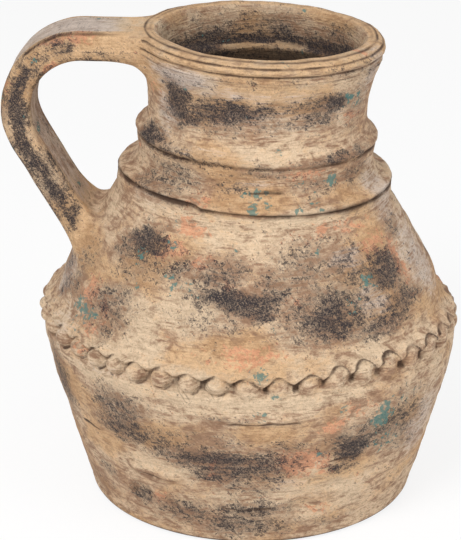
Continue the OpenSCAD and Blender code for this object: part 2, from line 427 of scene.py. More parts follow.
        floor = [[r, size.floor_t] for r in (foot - size.foot_round, 58 * MM, 30 * MM, 0)]
        return np.vstack([near, down, neck, shoulder[1:], body, floor])

    def row_at(self, height):
        """The outer row nearest to a height"""
        span = np.arange(self.first, self.last + 1)
        return int(span[np.argmin(abs(self.z[span] - height))])

    def lean(self, points):
        """Leans upright points as the shoulder and the neck lean away from the handle"""
        size, z = self.size, points[:, 2]

        def tipped(upright, pivot, angle):
            x, up = upright[:, 0], upright[:, 2] - pivot
            cos, sin = math.cos(angle), math.sin(angle)
            return np.c_[x * cos + up * sin, upright[:, 1], up * cos - x * sin + pivot]

        neck = smooth(self.collar - 7 * MM, self.collar + 3 * MM, z)[:, None]
        more = tipped(points, self.collar, size.neck_lean - size.shoulder_lean)
        points = points * (1 - neck) + more * neck
        shoulder = smooth(self.recess - 14 * MM, self.recess - 3 * MM, z)[:, None]
        leaned = tipped(points, size.seam_h, size.shoulder_lean) - [size.shoulder_offset, 0, 0]
        return points * (1 - shoulder) + leaned * shoulder


# Where the beads on the shown side lie round the seam, in degrees; the rest are evenly spaced
SHOWN_BEADS = (
    *(-158.4, -149.9, -141.1, -133.1, -126.3, -119.6, -111.7, -103.8, -96.4, -88.0),
    *(-79.6, -71.2, -63.6, -55.4, -46.6, -37.8, -28.8, -20.0, -11.5),
)
HIDDEN_BEADS = 25
# The least and the widest gap between beads that a bead fills, in degrees
BEAD_GAPS = (4, 12)
# Draws enough for every bead, in each of the four ways that beads differ
BEAD_CHANCE = np.random.default_rng(11).uniform(-1, 1, (80, 4))


def bead_places():
    """Azimuths of all the beads, in degrees, in order"""
    gap = SHOWN_BEADS[0] + 360 - SHOWN_BEADS[-1]
    steps = np.arange(1, HIDDEN_BEADS + 1) / (HIDDEN_BEADS + 1)
    places = np.r_[SHOWN_BEADS, SHOWN_BEADS[-1] + gap * steps]
    return np.sort((places + 180) % 360 - 180)


def nearest_bead(degrees):
    """The nearest bead's number for each azimuth, how far off it lies and half the gap, in degrees"""
    places = bead_places()
    wrapped = np.r_[places[-1] - 360, places, places[0] + 360]
    nearest = np.argmin(abs(degrees[:, None] - wrapped[None, :]), axis=1)
    nearest = np.clip(nearest, 1, len(places))
    off = degrees - wrapped[nearest]
    before = wrapped[nearest] - wrapped[nearest - 1]
    after = wrapped[nearest + 1] - wrapped[nearest]
    gap = np.where(off < 0, before, after)
    return nearest, off, np.clip(gap, *BEAD_GAPS) / 2


class BeadField:
    """Where points near the seam lie on their beads"""

    def __init__(self, wall, degrees, z):
        seam_r, seam_h = wall.size.belly_r, wall.size.seam_h
        number, off, half = nearest_bead(degrees)
        # From -1 to 1 over the bead's share of the seam
        self.phase = np.clip(off / half, -1, 1)
        self.chance = BEAD_CHANCE[number].T
        # Where the lip above is pressed into scallops, and where the whole ring climbs a little
        self.scalloped = window(-84, 20, 12, degrees)
        self.lift = 2.2 * MM * window(-58, -18, 22, degrees)
        centre = seam_h - (1.7 - 0.7 * self.scalloped) * MM + self.chance[0] * 0.4 * MM + self.lift
        tall = np.where(z > centre, 4.6 - 0.4 * self.scalloped, 4.9 + 3.1 * self.scalloped) * MM
        tall += 0.4 * MM * self.chance[2]
        # Up and across the bead: 0 in its middle, and 1 or -1 at its edges
        self.rise = (z - centre) / tall
        wide = np.radians(half) * seam_r * (0.7 + 0.03 * self.scalloped + 0.06 * self.chance[1])
        skew = (0.8 + 0.8 * self.chance[3]) * MM * self.rise
        self.across = (np.radians(off) * seam_r + skew) / wide
        # 1 on the bead's edge, and how domed it is inside that
        self.spread = abs(self.across) ** 2.1 + abs(self.rise) ** 2.1
        self.dome = np.sqrt(np.maximum(0, 1 - self.spread))


def shape_beads(wall, degrees, r, z):
    """Lays the pressed beads in their recess and lets the edge above rise and fall over them"""
    size = wall.size
    bead = BeadField(wall, degrees, z)
    dome, scalloped, lift = bead.dome, bead.scalloped, bead.lift
    shelf = smooth(0, 0.3, scalloped) * (size.belly_r - 0.6 * MM)
    level = wall.recess + 3.4 * MM + lift
    shelf = shelf * (1 - smooth(level - MM, level, z))
    r = np.where(z > wall.recess, np.maximum(r, shelf), r)
    near = window(wall.recess + 1 * MM, wall.flange + 3 * MM, 4 * MM, z)
    trench = np.exp(-(((bead.spread - 1.35) / 0.35) ** 2)) * smooth(-0.3, 0.4, bead.rise)
    sunk = r - (0.9 - 0.5 * scalloped) * MM * trench * near
    proud = size.bead_proud + size.recess_d + bead.chance[1] * 0.2 * MM
    proud = proud * (1 - 0.15 * scalloped * (1.5 + bead.across))
    ball = wall.recess_r + proud * dome
    crumb = window(-61, -49, 2, degrees) * np.sin(bead.across * 9) * np.sin(bead.rise * 7)
    ball += (0.5 * crumb + 0.2 * np.sin(bead.across * 4 + 6 * bead.chance[3])) * MM * dome
    r = np.maximum(np.minimum(sunk, size.belly_r + size.bead_proud), np.where(dome > 0, ball, 0))
    edge = wall.flange + lift
    hang = smooth(edge - 2.4 * MM, edge, z + lift) * (1 - smooth(edge + 2 * MM, edge + 10 * MM, z))
    swing = (0.9 + 0.6 * scalloped) * MM * (1 - 2 * abs(bead.phase) ** 1.4)
    free = 1 - smooth(0.0, 0.3, dome)
    return r, z + hang * (swing * free + lift)


# Scars in the clay: kind, azimuth from and to in degrees, then height, size up or down the wall
# and depth in millimetres
SCARS = (
    ("ledge", -129, -108, 42.5, 7, 2.2),
    ("ledge", -98, -70, 87.5, 5, 1.7),
    ("ledge", -98, -78, 27.0, 5, 2.3),
    ("ledge", -92, -70, 204.0, 4, 0.6),
    ("ledge", -45, -36, 37.0, 5, 1.8),
    ("ledge", -66, -52, 57.0, 6, 0.7),
    ("ledge", -150, -136, 61.0, 6, 0.7),
    ("ledge", 20, 62, 71.0, 9, 0.9),
    ("ledge", 95, 128, 38.0, 8, 0.8),
    ("ledge", 150, 171, 84.0, 8, 0.8),
    ("dent", -76, -67, 25.0, 8, -2.4),
    ("dent", -130, -120, 26.0, 7, -2.3),
    ("dent", -63, -57, 29.0, 4, -0.8),
    ("dent", -51, -47, 40.0, 3, -0.8),
    ("dent", -70, -66, 43.0, 3, -0.8),
    ("dent", 70, 84, 30.0, 6, -0.9),
    ("lump", -88, -81, 114.0, 3.0, 1.5),
    ("lump", -64, -60, 113.5, 2.4, 1.0),
    ("lump", -56, -53, 112.5, 2.4, 1.0),
    ("lump", -92, -86, 29.0, 4, 0.9),
)


def scars(degrees, z, wander):
    """How far ledges, lumps and dents push each point out, and the painted shade and dirt under the
    ledges and the painted shade on the left rim of each dent
    """
    push, scar_shade_and_dirt = np.zeros(len(z)), np.zeros(len(z))
    for kind, start, end, height, size, depth in SCARS:
        middle, half = (start + end) / 2, (end - start) / 2
        off = (degrees - middle + 180) % 360 - 180
        rise = z / MM - height - 2.0 * wander
        if kind == "ledge":
            along = 1 - smooth(0.6 * half, half, abs(off + 2 * wander))
            up = smooth(-0.9, 0.7, rise) * (1 - smooth(0.3 * size, size, rise))
            push += depth * MM * along * up
            # Painted shade and dirt along the underside of the ledge
            scar_shade_and_dirt = np.maximum(scar_shade_and_dirt, 0.95 * along * np.exp(-(((rise + 1.2) / 1.2) ** 2)))
        else:
            q = (off / half) ** 2 + ((z / MM - height) / size) ** 2
            push += depth * MM * np.exp(-1.8 * q**3) * (1 + 0.4 * wander)
            # Painted shade on the left rim of each dent
            rim = np.exp(-(((off / half + 0.7) / 0.4) ** 2)) * window(-0.4, 0.4, 0.5, rise / size)
            scar_shade_and_dirt = np.maximum(scar_shade_and_dirt, 0.6 * rim * (1 if kind == "dent" else 0))
    return push, scar_shade_and_dirt


def unevenness(wall, upright, degrees, wander, outside, inside):
    """How far throwing, scars and a raised line on the neck push each point out"""
    z = upright[:, 2]
    rough = cloud(upright, 5.5 * MM, 8.7)
    bands = cloud(np.c_[upright[:, :2] / 9, z], 4.2 * MM, 1.7)
    slow = cloud(upright, 60 * MM, 5.3)
    quiet = 1 - 0.6 * window(wall.recess, wall.flange, 2 * MM, z)
    push = quiet * MM * (0.3 * bands + 0.4 * slow + 0.45 * wander + 0.26 * rough)
    push += scars(degrees, z, wander)[0]
    line_z = (251 + 0.26 * (degrees + 60)) * MM
    line = np.exp(-(((z - line_z) / (0.9 * MM)) ** 2))
    push += 0.45 * MM * window(-58, -20, 6, degrees) * line
    return outside * push + inside * MM * (0.5 * bands + 0.4 * wander)


def thrown(wall, index, degrees):
    """The place of each vertex of the wall, given its row and its azimuth"""
    angle = np.radians(degrees)
    r, z = wall.r[index].copy(), wall.z[index].copy()
    outer = (index >= wall.first) & (index <= wall.last)
    outside = np.where(outer & (z > 6 * MM), 1.0, 0.0)
    inside = np.where((index > wall.last) & (z > 60 * MM), 1.0, 0.0)
    upright = np.c_[r * np.cos(angle), r * np.sin(angle), z]
    wander = cloud(upright, 16 * MM, 3.1)
    push = unevenness(wall, upright, degrees, wander, outside, inside)
    on_ledge = inside * (abs(z - wall.waist - wall.ledge_h) < 4 * MM)
    z = z + on_ledge * 1.2 * MM * wander + push * wall.normal[index, 1]
    out_of_round = 0.35 * MM * (1 - np.cos(2 * (angle + 0.6)))
    r = r + push * wall.normal[index, 0] - outside * out_of_round
    crest = np.clip(0.5 * (index - wall.last + 2), 0, 1)
    crest = crest * smooth(wall.lip - 18 * MM, wall.lip - 2 * MM, z)
    r = r - 2.8 * MM * crest * window(-135, -45, 45, degrees)
    z = z - 1.2 * MM * window(55, 125, 45, degrees) * smooth(wall.lip - 6 * MM, wall.rim, z)
    jog = smooth(-109, -113, degrees) * smooth(-178, -165, degrees)
    near = window(wall.groove - 2 * MM, wall.groove + 2 * MM, 5 * MM, z) * outside
    z = z + 2.2 * MM * jog * near
    beads = outer & (z > wall.recess - 4 * MM) & (z < wall.fair)
    r[beads], z[beads] = shape_beads(wall, degrees[beads], r[beads], z[beads])
    on_ground = (index < wall.first) | (outer & (z < 0.2 * MM))
    z = np.where(on_ground, np.maximum(z, 0), z)
    leaned = wall.lean(np.c_[r * np.cos(angle), r * np.sin(angle), z])
    leaned[:, 2] = held_down(leaned[:, 2], TOP)
    return leaned


def held_down(z, top):
    """Presses heights that come near a top softly under it"""
    soft = 1.2 * MM
    over = np.maximum(0, z - (top - soft))
    return np.minimum(z, top - soft) + soft * over / (over + soft)


class Strap:
    """The strap's middle line and its section, as distances from the axis and heights"""

    def __init__(self, size, wall):
        self.size = size
        crest = wall.lean(np.array([[-(wall.size.lip_r - 5.5 * MM), 0, wall.rim]]))[0]
        self.top = min(crest[2], TOP - 0.4 * MM) - size.thickness / 2
        self.start = wall.size.lip_r - 1.5 * MM
        bend_x = size.reach - size.thickness / 2 - size.bend_r
        self.centre = np.array([bend_x, self.top - size.bend_r])
        slope_run = wall.slope_r - wall.size.collar_r
        radius = wall.slope_r - slope_run * size.landing_h / wall.size.slope_h
        x, _, z = wall.lean(np.array([[-radius, 0, wall.turn + size.landing_h]]))[0]
        landing = np.array([-x, z])
        way = landing - self.centre
        end = math.atan2(way[1], way[0]) + math.acos(size.bend_r / np.linalg.norm(way))
        self.turned = self.centre + size.bend_r * np.array([math.cos(end), math.sin(end)])
        self.fall = np.array([math.sin(end), -math.cos(end)])
        self.run = bend_x - self.start
        self.bend = size.bend_r * (math.pi / 2 - end)
        self.total = self.run + self.bend + np.linalg.norm(landing - self.turned)

    def station(self, along):
        """Centre, way along and way out of the strap at a distance along it"""
        if along <= self.run:
            return np.array([self.start + along, self.top]), np.array([1.0, 0]), np.array([0, 1.0])
        if along <= self.run + self.bend:
            angle = math.pi / 2 - (along - self.run) / self.size.bend_r
            out = np.array([math.cos(angle), math.sin(angle)])
            return self.centre + self.size.bend_r * out, np.array([out[1], -out[0]]), out
        rest = along - self.run - self.bend
        out = np.array([-self.fall[1], self.fall[0]])
        return self.turned + self.fall * rest, self.fall, out

    def section(self, across, deep):
        """Points round the strap, from its underside: across faces wide and deep faces thick"""
        lower = [[1 - 2 * i / across, -1] for i in range(across)]
        near = [[-1, -1 + 2 * i / deep] for i in range(deep)]
        half = np.array([self.size.width, self.size.thickness]) / 2
        square = np.array(lower + near)
        square = np.vstack([square, -square]) * half
        core = np.clip(square, -(half - self.size.edge_r), half - self.size.edge_r)
        out = square - core
        far = np.maximum(np.linalg.norm(out, axis=1), 1e-9)
        return core + out * np.minimum(self.size.edge_r / far, 1)[:, None]


def fillet(t):
    """From 1 down to 0 as t goes from 0 to 1, steepest at first, as a rounded joint runs out"""
    t = np.clip(t, 0, 1)
    return 1 - np.sqrt(np.maximum(0, 1 - (1 - t) ** 2))


def ordered_hole(grid, rows, columns):
    """Vertices round a hole, from its first row's first column along, up, back and down"""
    low, high = rows
    first, last = columns
    step = 1 if high > low else -1
    path = [(low, c) for c in range(first, last)]
    path += [(r, last) for r in range(low, high, step)]
    path += [(high, c) for c in range(last, first, -1)]
    path += [(r, first) for r in range(high, low, -step)]
    return [grid[p] for p in path]


class VASE_OT_throw(bpy.types.Operator):
    """Throw the wall, pull the strap out of it and weld it into the shoulder"""

    bl_idname = "vase.throw"
    bl_label = "Vase body with handle"

    # Faces across and down each hole that the strap is welded into
    across = 36
    deep = 24
    # How far below the rim the upper hole ends, and how far above the shoulder's turn the lower one
    top_hole = 0.45 * MM
    root_hole = 23.5 * MM
    # Length of one ring of the strap
    ring_step = 1.9 * MM
    # How far below and above the beads the wall has twice its columns
    doubled = (1.6 * MM, 4.5 * MM)
    # Points nearer than this are one
    merge = 0.001 * MM
    # How many edges from a weld the clay is smoothed, and how often
    smearing = ((8, 3), (5, 6), (3, 10), (2, 8))

    def execute(self, context):
        wall = Wall(context.scene.vase_sizes)
        strap = Strap(context.scene.vase_strap, wall)
        bm = bmesh.new()
        self.layers = {
            "row": bm.verts.layers.int.new("row"),
            "along": bm.verts.layers.float.new("along"),
            "out": bm.verts.layers.float.new("out"),
            "turn": bm.verts.layers.int.new("turn"),
        }
        grid = self.spin_wall(bm, wall)
        holes = self.cut_holes(bm, wall, grid)
        ends = self.pull_strap(bm, strap, holes)
        self.smear(bm, ends)
        self.finish(bm, wall, strap)
        return {"FINISHED"}

    def spin_wall(self, bm, wall):
        """Spins the section round the axis, doubles the columns at the beads, and shapes it"""
        row, along = self.layers["row"], self.layers["along"]
        columns = wall.size.columns
        line = [bm.verts.new((r, 0, z)) for r, z in zip(wall.r, wall.z)]
        for i, vertex in enumerate(line):
            vertex[row] = i
            vertex[along] = -1
        edges = [bm.edges.new(pair) for pair in zip(line, line[1:])]
        bmesh.ops.spin(
            bm,
            geom=line + edges,
            cent=(0, 0, 0),
            axis=(0, 0, 1),
            angle=math.tau,
            steps=columns,
            use_merge=True,
        )
        bmesh.ops.remove_doubles(bm, verts=bm.verts[:], dist=self.merge)
        low = wall.row_at(wall.recess - self.doubled[0])
        high = wall.row_at(wall.flange + self.doubled[1])
        rows = [(edge, [vertex[row] for vertex in edge.verts]) for edge in bm.edges]
        level = [edge for edge, (one, other) in rows if one == other and low <= one <= high]
        bmesh.ops.subdivide_edges(bm, edges=level, cuts=1, use_grid_fill=True)
        verts = bm.verts[:]
        index = np.array([vertex[row] for vertex in verts])
        co = np.array([vertex.co[:] for vertex in verts])
        degrees = np.degrees(np.arctan2(co[:, 1], co[:, 0]))
        for vertex, place in zip(verts, thrown(wall, index, degrees)):
            vertex.co = place
        grid = {}
        for vertex, i, column in zip(verts, index.tolist(), (degrees * columns / 360).tolist()):
            if abs(column - round(column)) < 0.01:
                grid[i, round(column) % columns] = vertex
        return grid

    def cut_holes(self, bm, wall, grid):
        """Opens the wall under the rim and on the shoulder, and returns the rims of both holes"""
        middle = wall.size.columns // 2
        columns = (middle - self.across // 2, middle + self.across // 2)
        top = wall.row_at(wall.rim - self.top_hole)
        root = wall.row_at(wall.turn + self.root_hole)
        bounds = [(top - self.deep, top), (root, root - self.deep)]
        loops = [ordered_hole(grid, rows, columns) for rows in bounds]
        inner = set()
        for rows in bounds:
            low, high = sorted(rows)
            for c in range(*columns):
                for r in range(low, high):
                    corners = [grid[r, c], grid[r, c + 1], grid[r + 1, c + 1], grid[r + 1, c]]
                    faces = set(corners[0].link_faces)
                    for corner in corners[1:]:
                        faces &= set(corner.link_faces)
                    inner |= faces
        bmesh.ops.delete(bm, geom=list(inner), context="FACES")
        return loops

    def pull_strap(self, bm, strap, holes):
        """Pulls a ring of clay out along the strap's line, and welds both its ends"""
        turn, along_layer, out_layer = (self.layers[k] for k in ("turn", "along", "out"))
        section = strap.section(self.across, self.deep)
        ends = []
        for loop, at in zip(holes, (0, strap.total)):
            centre, way, out = strap.station(at)
            co = np.array([v.co[:] for v in loop])
            offset = np.c_[-co[:, 0], co[:, 2]] - centre
            level = np.c_[section, np.zeros(len(section))]
            ends.append(np.c_[co[:, 1], offset @ out, offset @ way] - level)
        count = round(strap.total / self.ring_step)
        made = bmesh.ops.create_circle(bm, cap_ends=False, radius=MM, segments=len(section))
        ring = made["verts"]
        for k, vertex in enumerate(ring):
            vertex[turn] = k
        edges = list({e for v in ring for e in v.link_edges})
        first = ring
        for i in range(count + 1):
            if i:
                made = bmesh.ops.extrude_edge_only(bm, edges=edges)["geom"]
                edges = [g for g in made if isinstance(g, bmesh.types.BMEdge)]
                fresh = [g for g in made if isinstance(g, bmesh.types.BMVert)]
                ring = sorted(fresh, key=lambda v: v[turn])
                edges = [e for e in edges if e.verts[0] in set(ring) and e.verts[1] in set(ring)]
            along = strap.total * i / count
            places = self.strap_ring(strap, section, along, ends)
            for vertex, place, local in zip(ring, places, section):
                vertex.co = place
                vertex[along_layer] = along
                vertex[out_layer] = local[1] / (strap.size.thickness / 2)
        weld = dict(zip(first, holes[0]))
        weld.update(zip(ring, holes[1]))
        bmesh.ops.weld_verts(bm, targetmap=weld)
        return [v for loop in holes for v in loop]

    def strap_ring(self, strap, section, along, ends):
        """The places of one ring's points, bent to meet the holes near both ends of the strap"""
        size = strap.size
        centre, way, out = strap.station(along)
        side, off, ahead = section[:, 0].copy(), section[:, 1].copy(), np.zeros(len(section))
        from_rim, from_root = along, strap.total - along
        reach = np.where(section[:, 1] > 0.3 * size.thickness, 0.6, 1.1)
        for end, gone, flare in (
            (ends[0], from_rim, size.rim_flare),
            (ends[1], from_root, size.root_flare),
        ):
            side += end[:, 0] * fillet(gone / flare)
            off += end[:, 1] * fillet(gone / (flare * reach))
            ahead += end[:, 2] * (1 - smooth(0, 2.0 * flare, np.array(gone)))
        flat = centre + off[:, None] * out + ahead[:, None] * way
        places = np.c_[-flat[:, 0], side, flat[:, 1]]
        calm = min(1, from_rim / (6 * MM), from_root / (6 * MM))
        lumps = cloud(places, 14 * MM, 2.3) * 0.35 * MM + cloud(places, 5 * MM, 6.1) * 0.12 * MM
        outwards = np.c_[-out[0] * np.sign(off), np.zeros(len(off)), out[1] * np.sign(off)]
        return places + outwards * (lumps * calm)[:, None]

    def smear(self, bm, ends):
        """Works the clay smooth where the strap joins the rim and the shoulder"""
        reach = {v: 0 for v in ends}
        edge = list(reach)
        for step in range(1, self.smearing[0][0] + 1):
            fresh = {e.other_vert(v) for v in edge for e in v.link_edges} - set(reach)
            reach.update({v: step for v in fresh})
            edge = list(fresh)
        for width, passes in self.smearing:
            near = [v for v, step in reach.items() if step <= width]
            for _ in range(passes):
                bmesh.ops.smooth_vert(
                    bm, verts=near, factor=0.5, use_axis_x=True, use_axis_y=True, use_axis_z=True
                )

    def finish(self, bm, wall, strap):
        """Turns the faces outwards and makes the object, with its paint"""
        bmesh.ops.recalc_face_normals(bm, faces=bm.faces[:])
        for face in bm.faces:
            face.smooth = True
        mesh = bpy.data.meshes.new("vase")
        bm.to_mesh(mesh)
        bm.free()
        vase = bpy.data.objects.new("vase", mesh)
        bpy.context.scene.collection.objects.link(vase)
        paint(mesh, wall, strap)
        mesh.materials.append(fired_clay(bpy.context.scene.vase_colours))
        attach(vase, "root")
        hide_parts("vase_body")


# Paint

# Patches of each finish on the wall: azimuth in degrees, then height, half width and half height
# in millimetres, and strength from 0 to 1
SOOT = (
    # Under the strap's root
    (-163, 134, 8, 7, 0.6),
    (-156, 138, 7, 6, 0.5),
    (-166, 127, 4, 4, 0.8),
    # Neck
    (-130, 249, 9, 13, 1.0),
    (-124, 241, 14, 5, 0.95),
    (-112, 247, 26, 8, 0.5),
    (-104, 252, 18, 4, 0.6),
    (-101, 247, 20, 7.5, 0.95),
    (-84, 249, 16, 5, 0.65),
    (-72, 240, 20, 4, 0.45),
    (-62, 250, 14, 5, 0.68),
    (-53, 244, 14, 7, 0.65),
    (-46, 250, 12, 6, 0.95),
    (-28, 246, 10, 12, 0.45),
    (-104, 237, 14, 4, 0.5),
    (-24, 263, 14, 3, 0.5),
    (-38, 268, 20, 2.5, 0.45),
    (-118, 262, 16, 3, 0.4),
    (-90, 266, 30, 2.5, 0.35),
    # Ridge and collar
    (-150, 224, 13, 5, 0.9),
    (-132, 221, 18, 4, 0.6),
    (-112, 218.5, 26, 2.6, 0.5),
    (-82, 217, 30, 1.6, 0.5),
    (-42, 218, 28, 2.6, 0.7),
    (-128, 207, 20, 8, 0.55),
    (-100, 206, 18, 6, 0.4),
    (-85, 213, 18, 2, 0.55),
    (-56, 205, 18, 7, 0.4),
    (-33, 206, 13, 6, 0.55),
    (-140, 200, 12, 5, 0.5),
    # Shoulder, left
    (-129, 171, 13, 8, 0.95),
    (-138, 166, 10, 7, 0.6),
    (-128, 164, 22, 11, 0.55),
    (-112, 164, 9, 8, 0.5),
    (-135, 137, 17, 12, 0.58),
    (-134, 124, 8, 4, 0.6),
    (-158, 152, 14, 10, 0.4),
    (-170, 140, 12, 9, 0.55),
    # Shoulder, middle
    (-98, 165, 15, 6, 0.6),
    (-99, 160.5, 15, 3.4, 0.75),
    (-97, 156, 10, 3, 0.6),
    (-91, 151, 24, 5, 0.95),
    (-85, 145, 12, 4, 0.9),
    (-100, 140, 20, 7, 0.4),
    (-98, 128, 1.6, 5, 0.5),
    (-79, 157, 12, 9, 0.58),
    # Shoulder, right
    (-68, 165, 16, 12, 0.5),
    (-61, 139, 20, 9, 0.95),
    (-62, 142, 28, 14, 0.7),
    (-50, 160, 20, 11, 0.6),
    (-36, 155, 15, 10, 0.9),
    (-38, 150, 18, 16, 0.4),
    (-34, 138, 20, 6, 0.75),
    (-44, 131, 20, 6, 0.75),
    (-18, 148, 12, 14, 0.2),
    (-20, 172, 10, 6, 0.5),
    (-62, 176, 20, 4, 0.35),
    # Body
    (-156, 82, 14, 18, 0.7),
    (-127, 82, 18, 12, 0.7),
    (-125, 71, 22, 9, 0.8),
    (-112, 67, 18, 10, 0.6),
    (-105, 59, 15, 7, 0.75),
    (-97, 61, 16, 6, 0.95),
    (-93, 60, 10, 4, 1.0),
    (-95, 52, 18, 9, 0.75),
    (-99, 74, 22, 7, 0.45),
    (-84, 57, 20, 10, 0.75),
    (-76, 68, 9, 5, 0.5),
    (-73, 61, 5, 1.8, 0.7),
    (-88, 43, 20, 7, 0.5),
    (-61, 66, 13, 7, 0.7),
    (-57, 62, 11, 8, 1.0),
    (-52, 72, 16, 7, 0.6),
    (-60, 50, 9, 4, 0.7),
    (-42, 70, 22, 13, 0.65),
    (-36, 56, 14, 8, 0.45),
    (-38, 88, 12, 5, 0.4),
    (-96, 89, 16, 2.2, 0.45),
    # Foot
    (-125, 24, 8, 6, 0.7),
    (-108, 20, 20, 8, 0.6),
    (-88, 26, 18, 6, 0.75),
    (-90, 14, 26, 8, 0.65),
    (-140, 32, 9, 5, 0.5),
    (-148, 18, 12, 7, 0.35),
    (-62, 12, 20, 4, 0.35),
)
PEACH = (
    (-112, 184, 10, 4, 0.75),
    (-118, 171, 8, 5, 0.7),
    (-105, 168, 7, 3, 0.65),
    (-95, 158, 5, 2, 0.7),
    (-145, 138, 8, 9, 0.7),
    (-137, 133, 4, 6, 0.7),
    (-140, 123, 6, 3, 0.6),
    (-140, 113, 5, 3, 0.5),
    (-88, 124, 15, 5, 0.6),
    (-58, 184, 5, 4, 0.8),
    (-45, 181, 14, 4, 0.5),
    (-36, 168, 11, 6, 0.6),
    (-26, 155, 6, 14, 0.6),
    (-73, 150, 6, 3, 0.5),
    (-73, 58, 14, 8, 0.9),
    (-64, 80, 8, 4, 0.75),
    (-57, 88, 10, 5, 0.45),
    (-67, 54, 12, 6, 0.6),
    (-66, 22, 7, 4, 0.45),
    (-98.4, 56, 1.1, 9, 1.0),
    (-117, 26, 8, 4, 0.5),
    (-150, 250, 8, 6, 0.4),
    (-31, 239, 6, 4, 0.6),
    (-60, 213, 12, 5, 0.5),
    (-112, 198, 8, 2.6, 0.5),
    (-168, 214, 4, 3, 0.6),
    (-26, 274, 3, 2, 0.8),
    (-70, 180, 10, 3, 0.3),
)
TEAL = (
    (-37, 250, 4, 4.5, 0.95),
    (-29, 247, 4, 5, 0.6),
    (-125, 260, 2, 2.5, 0.6),
    (-72, 275, 2, 1.5, 0.7),
    (-86, 203, 5, 3, 0.9),
    (-87, 196, 3, 2, 0.9),
    (-79, 199, 3, 4, 0.7),
    (-48, 207, 3, 3.5, 1.0),
    (-59, 198, 3, 2.4, 0.8),
    (-58, 194, 3, 1.5, 0.8),
    (-68, 193, 2.5, 2.5, 0.8),
    (-64, 207, 2.6, 1.8, 0.8),
    (-74, 225, 3, 1.5, 0.5),
    (-155, 208, 4, 3, 0.4),
    (-148, 131, 8, 4, 0.95),
    (-142, 129, 5, 5, 0.7),
    (-145, 121, 8, 5, 0.5),
    (-122, 184, 4, 2.5, 0.6),
    (-118, 174, 3, 2, 0.7),
    (-130, 166, 5, 3, 0.6),
    (-131, 160, 3, 2, 0.7),
    (-129, 151, 3, 2, 0.7),
    (-116, 160, 2.5, 2, 0.7),
    (-114, 155, 4, 3, 0.8),
    (-107, 155, 4, 2, 0.7),
    (-93, 174, 2.5, 2, 0.6),
    (-80, 136, 3, 2, 0.5),
    (-64, 172, 4, 2, 0.5),
    (-45, 152, 5, 5, 0.7),
    (-54, 143, 6, 5, 0.6),
    (-48, 81, 6, 9, 1.0),
    (-45, 60, 10, 8, 0.55),
    (-81, 102, 4, 2, 0.7),
    (-84, 91, 5, 3, 0.6),
    (-62, 91, 2.5, 2, 0.8),
    (-40, 86, 9, 6, 0.45),
    (-84, 116, 5, 3, 0.8),
    (-123, 48, 1.2, 6, 0.55),
    (-133, 104, 3, 2, 0.5),
    (-66, 61, 3, 1.5, 0.6),
)
CHALK = (
    (-78, 244, 60, 10, 0.35),
    (-126, 264, 22, 6, 0.8),
    (-140, 244, 8, 16, 0.6),
    (-100, 258, 26, 4, 0.5),
    (-70, 256, 30, 3, 0.4),
    (-20, 262, 10, 12, 0.6),
    (-84, 208, 14, 3, 0.5),
    (-136, 196, 16, 6, 0.4),
    (-168, 136, 14, 14, 0.6),
    (-152, 118, 12, 16, 0.4),
    (-128, 106, 30, 4, 0.35),
    (-50, 166, 12, 6, 0.6),
    (-46, 143, 12, 8, 0.6),
    (-18, 190, 12, 16, 0.6),
    (-12, 150, 16, 22, 0.65),
    (-26, 60, 16, 22, 0.6),
    (-76, 45, 12, 5, 0.4),
    (-112, 224, 24, 3, 0.4),
)
PALE = (
    (-107, 147, 15, 8, 0.5),
    (-122, 138, 12, 8, 0.5),
    (-99, 181, 18, 7, 0.5),
    (-78, 259, 32, 5, 0.7),
    (-88, 224, 36, 3.5, 0.6),
    (-64, 43, 22, 8, 0.8),
    # Painted highlight along the top of the ledge at 42.5 mm
    (-117, 49, 17, 3.4, 0.9),
    (-95, 100, 90, 3.5, 0.6),
    (-95, 118, 90, 4.5, 0.7),
    (-88, 190, 60, 2.4, 0.5),
    (-60, 25, 20, 8, 0.4),
    (-100, 30, 20, 6, 0.4),
    (-125, 108, 30, 3, 0.4),
)


# The side that the photo shows, in degrees, and the azimuth outside it from which turns are counted
SHOWN_SIDE = (-196, -4)
COUNT_FROM = -277


def patches(listed, degrees, height, radius, wobble):
    """How much each point lies under the listed patches, whose edges are bent by wobble"""
    total = np.zeros(len(height))
    for middle, up, wide, tall, strength in listed:
        off = np.radians((degrees - middle + 180) % 360 - 180) * radius / MM
        across = (off + 5.5 * wobble[0]) / (wide * 1.3)
        rise = (height / MM - up + 3 * wobble[1]) / (tall * 1.3)
        inside = np.exp(-((across * across + rise * rise) ** 1.5))
        total = np.maximum(total, strength * inside)
    return total


